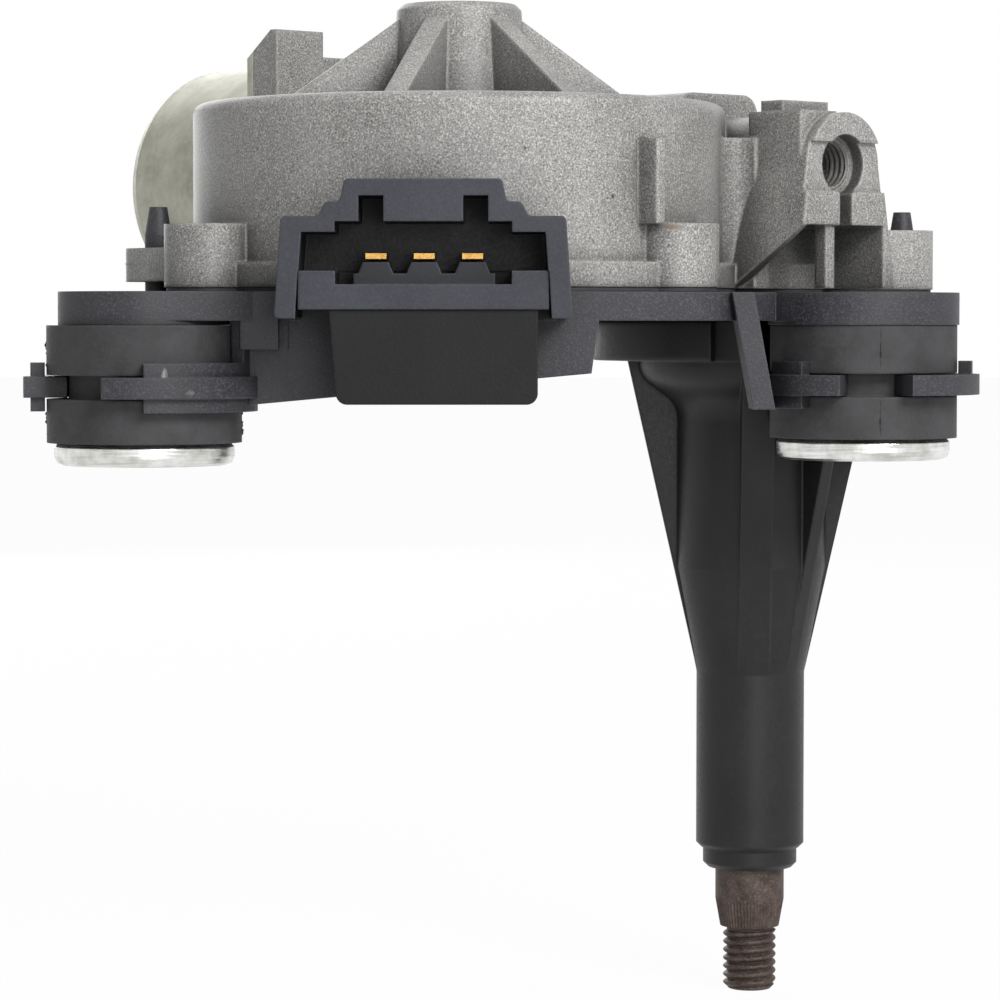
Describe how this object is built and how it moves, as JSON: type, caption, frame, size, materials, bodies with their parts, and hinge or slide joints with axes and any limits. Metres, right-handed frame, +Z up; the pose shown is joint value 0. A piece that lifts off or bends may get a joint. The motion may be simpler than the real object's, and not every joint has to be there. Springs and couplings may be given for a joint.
{
  "type": "wiper motor",
  "caption": "Rear wiper motor: ribbed cast gear housing with a side motor can and plug socket, on a plate with rubber bushes, above a long threaded wiper spindle.",
  "frame": {"origin": "on the wiper spindle's axis, at the shoulder where its cone meets the thread", "axes": "+Z up along the spindle from the thread to the gear housing, +X to the right seen from the plug socket, +Y away from the socket's mouth"},
  "size_m": [0.1344, 0.1687, 0.1477],
  "materials": {
    "cast_aluminium": "shot-blasted die casting",
    "plate_plastic": "fine spark-eroded grain",
    "spindle_housing_black": "smooth semi-matte",
    "hood_plastic": "satin, bluish",
    "connector_plastic": "satin",
    "rubber": "matte moulded rubber",
    "zinc_sleeve": "bright zinc plate",
    "can_steel": "satin zinc plate",
    "spindle_steel": "oxidised steel",
    "steel": "machined",
    "bronze": "sintered",
    "copper": "copper",
    "brass": "stamped brass",
    "iron": "bare laminations",
    "ferrite": "sintered ferrite",
    "wheel_plastic": "moulded acetal",
    "insulator": "phenolic",
    "carbon": "pressed carbon"
  },
  "bodies": {
    "frame": {"axle_clip": "steel", "brush_plate": "insulator", "brush_springs": "steel", "carbon_brushes": "carbon", "carrier_plate": "plate_plastic", "connector_block": "connector_plastic", "connector_body": "hood_plastic", "connector_hood": "hood_plastic", "field_magnets": "ferrite", "front_bush": "bronze", "gear_housing": "cast_aluminium", "grommet_left": "rubber", "grommet_rear": "rubber", "grommet_right": "rubber", "housing_gasket": "rubber", "housing_screws": "steel", "mid_bush": "bronze", "motor_can": "can_steel", "motor_screws": "steel", "park_contacts": "brass", "rear_bush": "bronze", "sleeve_left": "zinc_sleeve", "sleeve_rear": "zinc_sleeve", "sleeve_right": "zinc_sleeve", "spindle_bush_lower": "bronze", "spindle_bush_upper": "bronze", "spindle_housing": "spindle_housing_black", "spindle_seal": "rubber", "spindle_washer": "steel", "terminal_pins": "brass", "thrust_screw": "steel", "wheel_axle": "steel"},
    "armature": {"armature_shaft": "steel", "lamination_stack": "iron", "end_windings": "copper", "commutator": "copper"},
    "wheel": {"worm_wheel": "wheel_plastic", "contact_disc": "brass"},
    "spindle": {"wiper_spindle": "spindle_steel", "drive_lever": "steel", "lever_pin": "steel"},
    "link": {"connecting_rod": "steel", "crank_pin": "steel"}
  },
  "joints": [
    {"name": "armature_spin", "type": "hinge", "parent": "frame", "child": "armature", "pos_m": [0.01193, -0.025, 0.1144], "axis": [-0.6691, 0.7431, 0], "continuous": true},
    {"name": "wheel_spin", "type": "hinge", "parent": "frame", "child": "wheel", "pos_m": [-0.044, -0.014, 0.1144], "axis": [0, 0, 1], "continuous": true},
    {"name": "spindle_sweep", "type": "hinge", "parent": "frame", "child": "spindle", "pos_m": [0, 0, 0], "axis": [0, 0, 1], "range_deg": [0, 104]},
    {"name": "rod_swing", "type": "hinge", "parent": "spindle", "child": "link", "pos_m": [0.00931, 0.01362, 0.1013], "axis": [0, 0, 1], "range_deg": [-96.72, 0]}
  ],
  "couplings": [
    {"joint": "wheel_spin", "follows": "armature_spin", "ratio": -0.016393},
    {"joint": "rod_swing", "follows": "spindle_sweep", "ratio": -0.92994}
  ]
}
